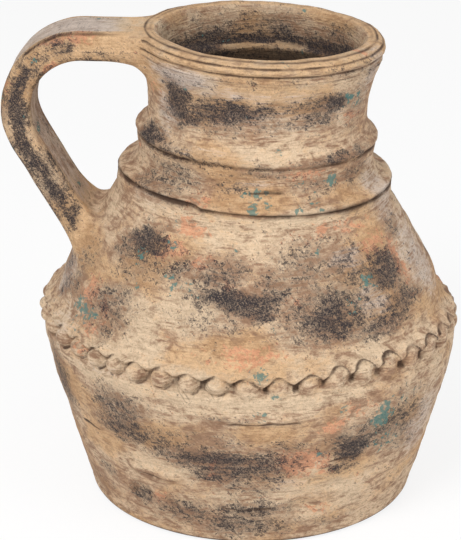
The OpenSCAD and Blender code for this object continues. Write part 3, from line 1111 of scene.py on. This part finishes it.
def paint(mesh, wall, strap):
    """Writes the finish of each vertex, and the shade painted on it, into the mesh's attributes"""
    count = len(mesh.vertices)
    co = np.zeros(count * 3)
    mesh.vertices.foreach_get("co", co)
    co = co.reshape(-1, 3)
    row, along, out = np.zeros(count, int), np.zeros(count), np.zeros(count)
    for name, values in (("row", row), ("along", along), ("out", out)):
        mesh.attributes[name].data.foreach_get("value", values)
    degrees = np.degrees(np.arctan2(co[:, 1], co[:, 0]))
    radius = np.hypot(co[:, 0], co[:, 1])
    z = co[:, 2]
    strapped = along >= 0
    inner = ~strapped & (row > wall.last + 2)
    streaky = np.c_[co[:, :2], z * 2.2]
    wobble = (cloud(streaky, 13 * MM, 4.4), cloud(streaky, 11 * MM, 9.9))
    drift = cloud(streaky, 34 * MM, 12.5) + 0.5 * cloud(streaky, 13 * MM, 2.5)
    stray = cloud(streaky, 22 * MM, 20.5)
    fleck = cloud(co, 9 * MM, 31.5)
    veil = cloud(streaky, 40 * MM, 40.5)
    hidden = 1 - window(*SHOWN_SIDE, 8, (degrees - COUNT_FROM) % 360 + COUNT_FROM)
    hidden = hidden * (1 - 0.8 * smooth(wall.lip - 12 * MM, wall.lip, z))
    listed = {
        "soot": (SOOT, 0.95 * smooth(-0.2, 1.0, drift)),
        "peach": (PEACH, 0.75 * smooth(0.15, 0.8, stray)),
        "teal": (TEAL, 0.9 * smooth(0.4, 0.62, fleck)),
        "pale": (PALE, 0.7 * smooth(0.1, 0.5, -drift)),
        "chalk": (CHALK, 0.6 * smooth(0.1, 0.5, veil)),
    }
    paints = {"ochre": 0.5 * smooth(0.0, 0.5, cloud(streaky, 45 * MM, 15.1))}
    for name, (spots, chance) in listed.items():
        shown = patches(spots, degrees, z, radius, wobble)
        paints[name] = np.where(inner, 0, np.maximum(shown, hidden * chance))
    on_lip = np.where(inner, 0, smooth(wall.lip - 3 * MM, wall.lip, z))
    paints["ochre"] = np.maximum(paints["ochre"], 0.45 * on_lip)
    paints["pale"] = np.maximum(paints["pale"], 0.3 * on_lip)
    paints["dirt"] = grime_and_shade(wall, row, degrees, z, strapped | inner, wobble[0])
    paint_inside(paints, wall, inner, degrees, z, drift, fleck)
    paints["pulled"] = smooth(4 * MM, 16 * MM, np.minimum(along, strap.total - along))
    paint_strap(paints, strap, co, along, out)
    for name, values in paints.items():
        layer = mesh.attributes.new(name, "FLOAT", "POINT")
        layer.data.foreach_set("value", values.astype(np.float32))
    flow = np.c_[along * 0.4, co[:, 1] * 2.4 + 0.5, out * 0.02]
    layer = mesh.attributes.new("flow", "FLOAT_VECTOR", "POINT")
    layer.data.foreach_set("vector", flow.astype(np.float32).ravel())
    for name in ("row", "along", "out", "turn"):
        mesh.attributes.remove(mesh.attributes[name])


def paint_inside(paints, wall, inner, degrees, z, drift, fleck):
    """The inner wall: smoked at the back, black over a pale ledge, with painted shade below the
    ledge, further down the neck and deep in the pot
    """
    ledge = wall.ledge
    back = window(25, 150, 25, degrees)
    low = 1 - smooth(ledge + 2 * MM, ledge + 20 * MM, z)
    on_ledge = window(ledge - 0.8 * MM, ledge + 1 * MM, 0.6 * MM, z) * window(64, 108, 8, degrees)
    near_rim = smooth(wall.rim - 9 * MM, wall.rim - 3 * MM, z)
    soot = 0.24 + 0.6 * drift + 0.4 * low * back
    soot = np.maximum(soot, back * window(ledge - 1 * MM, ledge + 5 * MM, 2 * MM, z))
    soot = np.clip(soot, 0, 1) * (1 - 0.8 * on_ledge) * (1 - 0.6 * near_rim)
    # Unslipped inner colour, stronger further down the neck: partly the clay's own colour and partly
    # painted shade
    shade = 0.2 + 0.8 * (1 - smooth(wall.waist + 2 * MM, ledge + 14 * MM, z))
    # Painted shade under the ledge and, below the ridge, deep inside the pot
    below = 0.6 * (1 - smooth(ledge - 3 * MM, ledge + 0.2 * MM, z)) * (1 - on_ledge)
    depth = np.maximum(below, 1 - smooth(wall.ridge, wall.waist, z))
    paints["soot"] = np.where(inner, soot, paints["soot"])
    paints["inner"] = np.where(inner, np.clip(shade, 0, 1), 0.0)
    paints["depth"] = np.where(inner, depth, 0.0)
    paints["pale"] = np.where(inner, 0.5 * on_ledge, paints["pale"])
    paints["teal"] = np.where(inner, 0.7 * smooth(0.5, 0.7, fleck), paints["teal"])


def grime_and_shade(wall, row, degrees, z, clean, wobble):
    """Dark marks of dirt and painted shade in the grooves, between the beads and under the ledges,
    and painted shade round the beads, in the dents and at the foot
    """
    upright = wall.z[np.clip(row, 0, len(wall.z) - 1)]
    dirt = np.zeros(len(z))
    sides = np.maximum(smooth(-100, -118, degrees), smooth(-66, -50, degrees))
    heavy = 0.7 + 0.35 * sides
    # Each turned line, darkened with dirt and painted shade: height, half width in millimetres,
    # strength
    lines = (
        (wall.groove, 2.0, heavy),
        (wall.groove - 0.8 * MM, 3.2, 0.55 * heavy),
        (wall.groove - 2.6 * MM, 0.5, 0.35),
        (wall.groove - 4.2 * MM, 0.5, 0.3),
        (wall.ridge, 1.6, 0.8 * heavy),
        (wall.ridge, 3.4, 0.6 * heavy),
        (wall.ridge - 2.5 * MM, 0.6, 0.3),
        (wall.lip - 4.4 * MM, 0.7, 0.7),
        (wall.lip - 0.6 * MM, 0.9, 0.9),
        (wall.lip + 4.2 * MM, 0.8, 0.85),
        (wall.lip + 6.4 * MM, 0.28, 0.85),
    )
    for height, half, strength in lines:
        dirt = np.maximum(dirt, strength * np.exp(-(((upright - height) / (half * MM)) ** 2)))
    bead = BeadField(wall, degrees, upright)
    level = upright - 0.6 * bead.lift
    # Dirt and painted shade in the seat between the beads
    seat = window(wall.recess + 1.5 * MM, wall.flange - 0.6 * MM, 1.2 * MM, level)
    seat = seat * (1 - bead.scalloped * (1 - smooth(-0.7, -0.2, bead.rise)))
    between = smooth(0.95, 1.5, bead.spread) * (0.65 + 0.25 * bead.scalloped)
    dirt = np.maximum(dirt, seat * between)
    # Painted shade round each bead, at its upper left and lower right, and over the tops of the
    # scalloped ones
    ring = np.exp(-(((bead.spread - 1.3) / 0.45) ** 2)) * window(-1.7, 1.4, 0.2, bead.rise)
    shaded = np.clip(0.5 - 1.8 * bead.across * bead.rise, 0.1, 0.95) * (1 - bead.scalloped)
    shaded = shaded + bead.scalloped * 0.9 * smooth(-0.1, 0.4, bead.rise)
    dirt = np.maximum(dirt, ring * shaded)
    dirt = np.maximum(dirt, scars(degrees, z, wobble)[1])
    # Painted contact shadow along the foot where it stands on the floor
    dirt = np.maximum(dirt, 1.1 * (1 - smooth(1.2 * MM, 3.4 * MM, z)))
    return np.where(clean, 0, dirt * (0.85 + 0.4 * wobble))


def paint_strap(paints, strap, co, along, out):
    """Finish of the strap: whitish on top, sooty down the near side of its fall"""
    side = smooth(0.6, 0.85, abs(co[:, 1]) / (strap.size.width / 2))
    top = smooth(0.5, 0.9, out) * (1 - 0.9 * side)
    under = smooth(0.5, 0.9, -out) * (1 - 0.8 * side)
    at = along / MM
    root = window(150, 200, 12, at)
    fine = cloud(co, 8 * MM, 7.7)
    slow = cloud(co, 22 * MM, 3.9)
    middle = np.exp(-(((out + 0.05 + 0.5 * slow) / 0.5) ** 2))
    soot = side * window(62, 152, 10, at) * (0.5 + 0.55 * middle)
    soot = np.maximum(soot, side * window(10, 70, 8, at) * smooth(0.2, -0.9, out) * 0.7)
    soot = np.maximum(soot, side * window(34, 90, 10, at) * 0.5)
    soot = np.maximum(soot, top * window(85, 150, 20, at) * 0.5)
    soot = np.maximum(soot, 0.12 * top + 0.2 * under)
    level_run = window(14, 75, 8, at) * (0.9 - 0.4 * smooth(0.0, -0.8, out))
    spot = window(44, 54, 3, at) * smooth(-0.3, -0.7, out)
    arris = side * np.exp(-(((out - 0.9) / 0.12) ** 2)) * window(4, 130, 10, at)
    own = {
        "soot": soot + 0.35 * fine + 0.25 * slow * side,
        "ochre": 0.5 * root + side * level_run + 0.3 * side,
        "peach": side * np.maximum(spot, smooth(0.15, 0.5, slow) * 0.7),
        "chalk": top * (0.75 + 0.3 * slow) + under * 0.55 + side * smooth(0.2, 0.6, -slow) * 0.4,
        "pale": side * 0.4 + window(0, 16, 6, at) * 0.4 + root * 0.6,
        "dirt": arris * (0.45 + 0.35 * window(18, 52, 6, at)) * (0.9 + 0.8 * fine),
        "teal": 0.8 * smooth(0.5, 0.7, fine),
    }
    for name, values in own.items():
        mixed = paints[name] * (1 - paints["pulled"]) + np.clip(values, 0, 1) * paints["pulled"]
        paints[name] = np.where(along >= 0, mixed, paints[name])


# Clay


class Nodes:
    """Short ways to lay out a material's nodes"""

    def __init__(self, tree):
        self.tree = tree
        tree.nodes.clear()

    def add(self, kind, **inputs):
        """A node with its own settings and its sockets set by name"""
        node = self.tree.nodes.new(kind)
        for name, value in inputs.items():
            if hasattr(node, name):
                setattr(node, name, value)
            else:
                self.feed(node.inputs[name.replace("_", " ")], value)
        return node

    def feed(self, socket, value):
        """Links a socket to another, or sets its value"""
        if isinstance(value, bpy.types.NodeSocket):
            self.tree.links.new(value, socket)
        else:
            socket.default_value = value

    def math(self, operation, a, b=0.0):
        """One sum"""
        node = self.tree.nodes.new("ShaderNodeMath")
        node.operation = operation
        self.feed(node.inputs[0], a)
        self.feed(node.inputs[1], b)
        return node.outputs[0]

    def step(self, value, low, high, top=1.0):
        """0 below low, top above high, and a soft step between"""
        node = self.tree.nodes.new("ShaderNodeMapRange")
        node.interpolation_type = "SMOOTHSTEP"
        self.feed(node.inputs["Value"], value)
        node.inputs["From Min"].default_value = low
        node.inputs["From Max"].default_value = high
        node.inputs["To Max"].default_value = top
        return node.outputs["Result"]

    def mix(self, amount, a, b, blend="MIX"):
        """From a at 0 to b at 1"""
        node = self.tree.nodes.new("ShaderNodeMix")
        node.data_type = "RGBA"
        node.blend_type = blend
        node.clamp_factor = True
        # Inputs 6 and 7 and output 2 are the node's sockets for colours
        self.feed(node.inputs[0], amount)
        self.feed(node.inputs[6], a)
        self.feed(node.inputs[7], b)
        return node.outputs[2]

    def noise(self, vector, scale, detail=3.0, rough=0.55, warp=0.0):
        """Soft noise from 0 to 1"""
        node = self.tree.nodes.new("ShaderNodeTexNoise")
        self.feed(node.inputs["Vector"], vector)
        node.inputs["Scale"].default_value = scale
        node.inputs["Detail"].default_value = detail
        node.inputs["Roughness"].default_value = rough
        node.inputs["Distortion"].default_value = warp
        return node.outputs["Fac"]

    def stretched(self, vector, scale, turn=(0, 0, 0), then=(1, 1, 1)):
        """The vector turned and then drawn out, so that noise on it runs in streaks"""
        node = self.tree.nodes.new("ShaderNodeMapping")
        self.feed(node.inputs["Vector"], vector)
        node.inputs["Rotation"].default_value = turn
        node.inputs["Scale"].default_value = scale
        if then == (1, 1, 1):
            return node.outputs[0]
        return self.stretched(node.outputs[0], then)

    def painted(self, name):
        """The node that reads one of the mesh's attributes"""
        node = self.tree.nodes.new("ShaderNodeAttribute")
        node.attribute_name = name
        return node


def clay_textures(n):
    """What the clay's finishes are blended from: the painted amounts and noises of all sizes"""
    place = n.add("ShaderNodeTexCoord").outputs["Object"]
    flow = n.painted("flow").outputs["Vector"]
    names = "soot peach teal pale chalk ochre dirt inner depth pulled".split()
    made = {name: n.painted(name).outputs["Fac"] for name in names}
    up = n.tree.nodes.new("ShaderNodeSeparateXYZ")
    n.feed(up.inputs[0], place)
    on_neck = n.step(up.outputs["Z"], 0.16, 0.19)
    turned = n.noise(n.stretched(place, (1, 1, 6)), 80, 4, 0.6, 0.3)
    dabbed = n.noise(n.stretched(place, (1, 1, 3.2)), 70, 4, 0.6, 1.2)
    level = n.noise(n.stretched(place, (1, 1, 11)), 95, 3, 0.6, 0.2)
    pulled = made["pulled"]
    made["brush"] = n.mix(pulled, n.mix(on_neck, dabbed, turned), n.noise(flow, 85, 4, 0.6, 0.3))
    made["lines"] = n.mix(pulled, level, n.noise(flow, 330, 3, 0.6))
    made["cloudy"] = n.noise(place, 34, 5, 0.62, 0.3)
    made["blots"] = n.noise(n.stretched(place, (1, 1, 1.6)), 150, 3, 0.6, 0.8)
    made["flecks"] = n.noise(place, 360, 2, 0.55, 0.3)
    made["grain"] = n.noise(place, 700, 3, 0.75, 1.1)
    made["speck"] = n.noise(place, 1250, 2, 0.5)
    aslant = n.stretched(place, (1, 1, 1), (0.5, 0.6, 0.4), (14, 1, 1))
    made["hatch"] = n.noise(aslant, 80, 2, 0.5)
    return made


def fired_clay(colours):
    """Cream slip brushed thinly over tan clay, smoked, stained and worn, with shade painted into its
    hollows and inside
    """
    material = bpy.data.materials.new("fired_clay")
    material.use_nodes = True
    n = Nodes(material.node_tree)
    made = clay_textures(n)

    def blend(**weights):
        total = 0.0
        for name, weight in weights.items():
            total = n.math("ADD", n.math("MULTIPLY", made[name], weight), total)
        return total

    cover = blend(brush=1.0, cloudy=1.0, lines=0.3, blots=0.9, grain=0.3, pale=0.45)
    base = n.mix(n.step(cover, 1.52, 1.98), colours.clay, colours.slip)
    warm = blend(cloudy=-0.8, ochre=0.7, blots=0.9, brush=0.6)
    base = n.mix(n.step(warm, 0.3, 0.75, 0.7), base, colours.ochre)
    bloom = blend(chalk=1.0, brush=0.9, lines=0.8, blots=0.5)
    base = n.mix(n.step(bloom, 1.3, 2.0, 0.85), base, colours.chalk)
    thin = blend(lines=0.8, brush=1.1, cloudy=-0.6, blots=0.6, grain=0.4, pale=-0.3)
    base = n.mix(n.step(thin, 1.16, 1.7, 0.33), base, colours.wash)
    blush = blend(peach=0.8, blots=0.9, flecks=1.6, grain=0.4)
    base = n.mix(n.step(blush, 1.74, 2.0, 0.8), base, colours.peach)
    tone = n.step(blend(grain=0.9, blots=0.8, lines=0.6, brush=0.8, speck=0.3), 1.35, 2.05)
    tone = n.mix(tone, (0.68, 0.65, 0.62, 1), (1.18, 1.18, 1.18, 1))
    base = n.mix(1.0, base, tone, "MULTIPLY")
    ash = blend(soot=1.0, cloudy=0.6, brush=1.0, blots=1.3, grain=2.2, speck=0.6)
    base = n.mix(n.step(ash, 3.15, 3.8, 0.65), base, colours.ash)
    # The inside colour is laid on more strongly deeper in the neck, partly as painted shade
    base = n.mix(n.math("MULTIPLY", made["inner"], 0.75), base, colours.inside)
    smoke = blend(soot=0.8, brush=0.9, lines=0.8, blots=1.1, grain=1.9, flecks=0.8, hatch=0.9)
    rubbed = n.step(blend(speck=1.0, grain=0.5, hatch=0.5), 0.98, 1.2, 0.6)
    smoke = n.math("MULTIPLY", n.step(smoke, 3.4, 3.95), n.math("SUBTRACT", 0.97, rubbed))
    base = n.mix(smoke, base, colours.soot)
    stain = blend(teal=0.85, flecks=2.1, grain=0.6)
    base = n.mix(n.step(stain, 1.86, 2.04, 0.78), base, colours.teal)
    # Painted shade: near black deep inside the pot and under the inner ledge
    base = n.mix(n.step(blend(depth=1.0, grain=0.4), 0.3, 1.0), base, colours.inside_shade)
    # Grime colour for dirt and painted shade in the grooves, round the beads, under the ledges and at
    # the foot
    filth_and_shade = blend(dirt=1.0, brush=0.5, grain=0.6)
    base = n.mix(n.step(filth_and_shade, 0.78, 1.4, 0.92), base, colours.grime_and_shade)
    made["scratch"] = n.step(blend(hatch=1.0, cloudy=0.6), 1.03, 1.1, 0.3)
    base = n.mix(made["scratch"], base, colours.grime_and_shade)
    made["pits"] = n.step(blend(speck=0.9, grain=0.5, soot=0.12), 0.94, 1.04, 0.5)
    base = n.mix(made["pits"], base, colours.grime_and_shade)

    relief = blend(lines=1.1, grain=0.8, blots=0.9, speck=0.25, pits=-0.7, scratch=-0.9)
    bump = n.add("ShaderNodeBump", Strength=0.9, Distance=1.2 * MM, Height=relief)
    rough = n.step(blend(grain=0.5, soot=0.3, brush=0.3), 0.2, 1.1)
    rough = n.math("ADD", n.math("MULTIPLY", rough, 0.16), 0.78)
    clay = n.add("ShaderNodeBsdfPrincipled", Base_Color=base, Roughness=rough, Normal=bump.outputs[0])
    clay.inputs["Specular IOR Level"].default_value = 0.25
    n.add("ShaderNodeOutputMaterial", Surface=clay.outputs[0])
    return material


# Stage


# Where the camera stands and how wide its sensor is, in metres and millimetres
CAMERA_PLACE = (0.0635, -1.2984, 0.6480)
SENSOR_WIDTH = 36
# Half the width of the floor, in metres
FLOOR_HALF = 6
# How much of the floor's own shade the camera doesn't see
FLOOR_GLOW = 0.82
# Each lamp's place and size in metres; both point at the middle of the vase
LAMPS = {"key": ((-0.5, -1.15, 1.4), 0.7), "fill": ((1.3, -0.8, 0.8), 1.1)}
LIT_POINT = Vector((0, 0, 0.14))


def floor_finish(colour):
    """White towards the camera, but still darker where the vase shades it"""
    material = bpy.data.materials.new("floor_white")
    material.use_nodes = True
    n = Nodes(material.node_tree)
    matt = n.add("ShaderNodeBsdfDiffuse", Color=colour)
    glow = n.add("ShaderNodeEmission", Color=(1, 1, 1, 1), Strength=1.0)
    ray = n.add("ShaderNodeLightPath")
    seen = n.math("MULTIPLY", ray.outputs["Is Camera Ray"], FLOOR_GLOW)
    both = n.tree.nodes.new("ShaderNodeMixShader")
    n.feed(both.inputs[0], seen)
    n.feed(both.inputs[1], matt.outputs[0])
    n.feed(both.inputs[2], glow.outputs[0])
    n.add("ShaderNodeOutputMaterial", Surface=both.outputs[0])
    return material


class VASE_OT_stage(bpy.types.Operator):
    """Set the floor, the soft light and the camera"""

    bl_idname = "vase.stage"
    bl_label = "Stage"

    def execute(self, context):
        scene = context.scene
        settings = scene.vase_stage
        self.lay_floor(scene, settings)
        self.light(scene, settings)
        self.place_camera(scene, settings)
        scene.view_settings.view_transform = "Standard"
        return {"FINISHED"}

    def lay_floor(self, scene, settings):
        """Lays a flat floor"""
        bm = bmesh.new()
        bmesh.ops.create_grid(bm, x_segments=1, y_segments=1, size=FLOOR_HALF)
        mesh = bpy.data.meshes.new("floor")
        bm.to_mesh(mesh)
        bm.free()
        mesh.materials.append(floor_finish(settings.floor))
        floor = bpy.data.objects.new("floor", mesh)
        scene.collection.objects.link(floor)

    def light(self, scene, settings):
        """Sets an even sky, which looks white itself, and two large lamps"""
        world = bpy.data.worlds.new("studio")
        world.use_nodes = True
        scene.world = world
        n = Nodes(world.node_tree)
        ray = n.add("ShaderNodeLightPath")
        direct = n.math("MAXIMUM", ray.outputs["Is Camera Ray"], ray.outputs["Is Glossy Ray"])
        direct = n.math("MAXIMUM", direct, ray.outputs["Is Transmission Ray"])
        spare = 1.0 - settings.sky
        strength = n.math("ADD", n.math("MULTIPLY", direct, spare), settings.sky)
        white = n.add("ShaderNodeBackground", Color=(1, 1, 1, 1), Strength=strength)
        n.add("ShaderNodeOutputWorld", Surface=white.outputs[0])
        for name, (place, size) in LAMPS.items():
            lamp = bpy.data.lights.new(name, "AREA")
            lamp.size = size
            lamp.energy = getattr(settings, f"{name}_power")
            thing = bpy.data.objects.new(name, lamp)
            thing.location = place
            thing.rotation_euler = (LIT_POINT - Vector(place)).to_track_quat("-Z", "Y").to_euler()
            scene.collection.objects.link(thing)

    def place_camera(self, scene, settings):
        """Puts the camera where the photo was taken from"""
        camera = bpy.data.cameras.new("camera")
        camera.lens = settings.lens
        camera.sensor_width = SENSOR_WIDTH
        view = bpy.data.objects.new("camera", camera)
        view.location = CAMERA_PLACE
        view.rotation_euler = Euler((math.pi / 2 - settings.pitch, 0, settings.swing))
        scene.collection.objects.link(view)
        scene.camera = view


class VASE_PT_panel(bpy.types.Panel):
    """The vase's steps, in the 3D view's sidebar"""

    bl_idname = "VASE_PT_panel"
    bl_label = "Clay vase"
    bl_space_type = "VIEW_3D"
    bl_region_type = "UI"
    bl_category = "Vase"

    def draw(self, context):
        column = self.layout.column()
        column.operator(VASE_OT_throw.bl_idname)
        column.operator(VASE_OT_stage.bl_idname)
        for group in (context.scene.vase_sizes, context.scene.vase_strap, context.scene.vase_colours):
            box = self.layout.box()
            for name in group.__annotations__:
                box.prop(group, name)


SETTINGS = {
    "vase_sizes": VaseSizes,
    "vase_strap": StrapSizes,
    "vase_colours": ClayColours,
    "vase_stage": StageSettings,
}
CLASSES = (*SETTINGS.values(), VASE_OT_throw, VASE_OT_stage, VASE_PT_panel)


def register():
    for cls in CLASSES:
        bpy.utils.register_class(cls)
    for name, group in SETTINGS.items():
        setattr(bpy.types.Scene, name, PointerProperty(type=group))


def unregister():
    for name in SETTINGS:
        delattr(bpy.types.Scene, name)
    for cls in reversed(CLASSES):
        bpy.utils.unregister_class(cls)


def main():
    """Builds the vase and the stage"""
    register()
    bpy.ops.vase.throw()
    bpy.ops.vase.stage()


if __name__ == "__main__":
    main()
